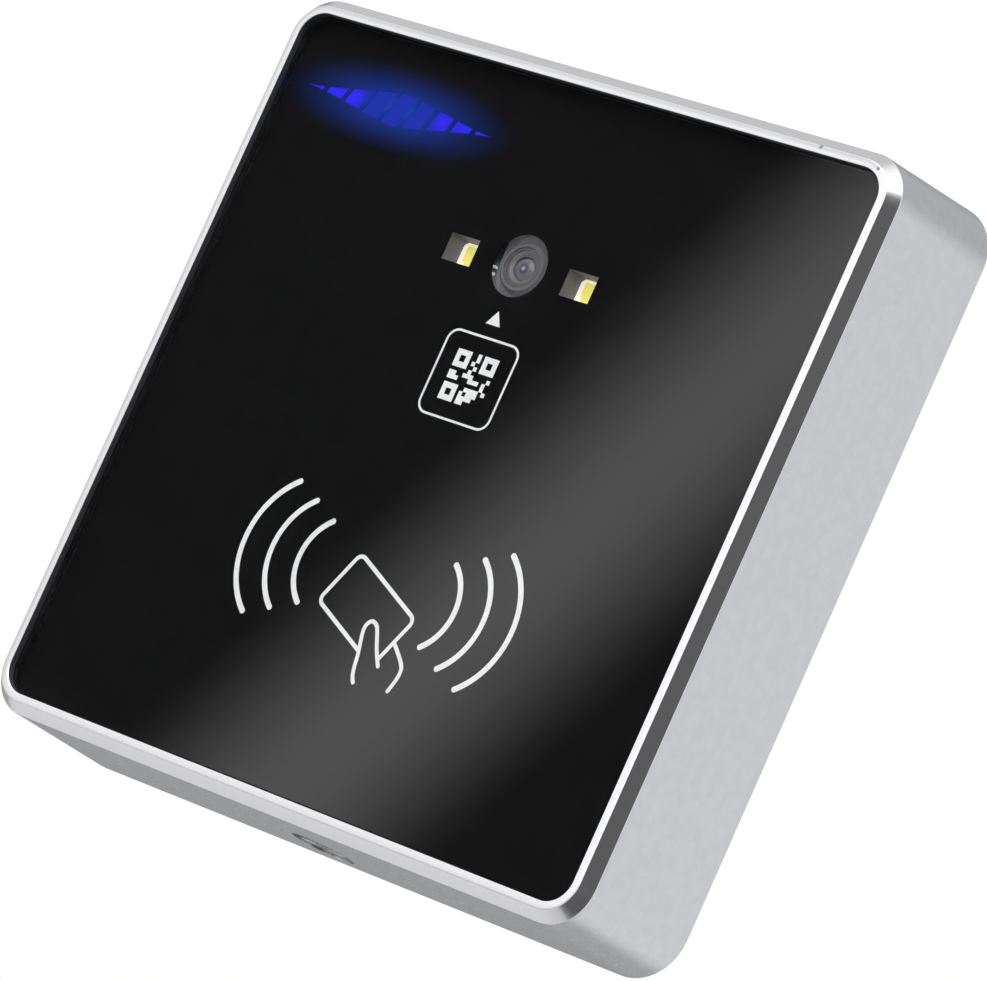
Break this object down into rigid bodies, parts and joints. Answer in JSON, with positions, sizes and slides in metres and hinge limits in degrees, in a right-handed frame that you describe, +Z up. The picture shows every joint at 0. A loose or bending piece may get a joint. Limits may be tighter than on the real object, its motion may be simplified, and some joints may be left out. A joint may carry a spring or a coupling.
{
  "type": "fixed barcode reader",
  "caption": "Square wall reader for printed codes and cards: cast metal housing, masked glass front with camera and fill-light windows, hung on a slotted wall bracket and locked from below.",
  "frame": {"origin": "midway between the bracket's two wall slots, on the wall plane", "axes": "+X to the right and +Z up as seen by a user, +Y into the wall, so the glass faces -Y"},
  "size_m": [0.086, 0.0177, 0.086],
  "materials": {
    "cast_alloy": "satin blasted sides, bright cut chamfer and rim",
    "clear_glass": "clear, polished",
    "black_mask": "black print, matt",
    "foam_tape": "matt foam",
    "green_board": "satin solder mask",
    "copper": "copper track",
    "led_white": "white package",
    "phosphor": "yellow phosphor",
    "grey_moulding": "fine moulded grain",
    "lens_grey": "turned rings",
    "lens_glass": "coated glass",
    "milky_acrylic": "milky, lit blue",
    "blue_led": "blue chip",
    "ceramic_chip": "ceramic body",
    "chip_black": "moulded package",
    "cream_plastic": "natural nylon",
    "brass": "turned",
    "plated_steel": "zinc plated",
    "can_aluminium": "drawn can",
    "black_cover": "moulded, fine grain",
    "sensor_glass": "sensor window"
  },
  "bodies": {
    "root": {"housing": "cast_alloy", "front_glass": "clear_glass", "mask_film": "black_mask", "glass_tape": "foam_tape", "main_board": "green_board", "antenna_coil": "copper", "fill_leds": "led_white", "led_phosphors": "phosphor", "light_baffle": "grey_moulding", "indicator_leds": "blue_led", "indicator_diffuser": "milky_acrylic", "chip_capacitors": "ceramic_chip", "lens_holder": "lens_grey", "lens_barrel": "lens_grey", "front_lens": "lens_glass", "image_sensor": "sensor_glass", "sensor_board": "green_board", "engine_connector": "cream_plastic", "engine_spacers": "brass", "engine_screws": "plated_steel", "buzzer": "chip_black", "supply_capacitor": "can_aluminium", "decoder_chip": "chip_black", "rfid_chip": "chip_black", "wire_connector": "cream_plastic", "connector_pins": "brass", "board_screws": "plated_steel", "rear_cover": "black_cover", "cover_screws": "plated_steel", "wall_bracket": "plated_steel", "lock_screw": "plated_steel"}
  },
  "joints": []
}
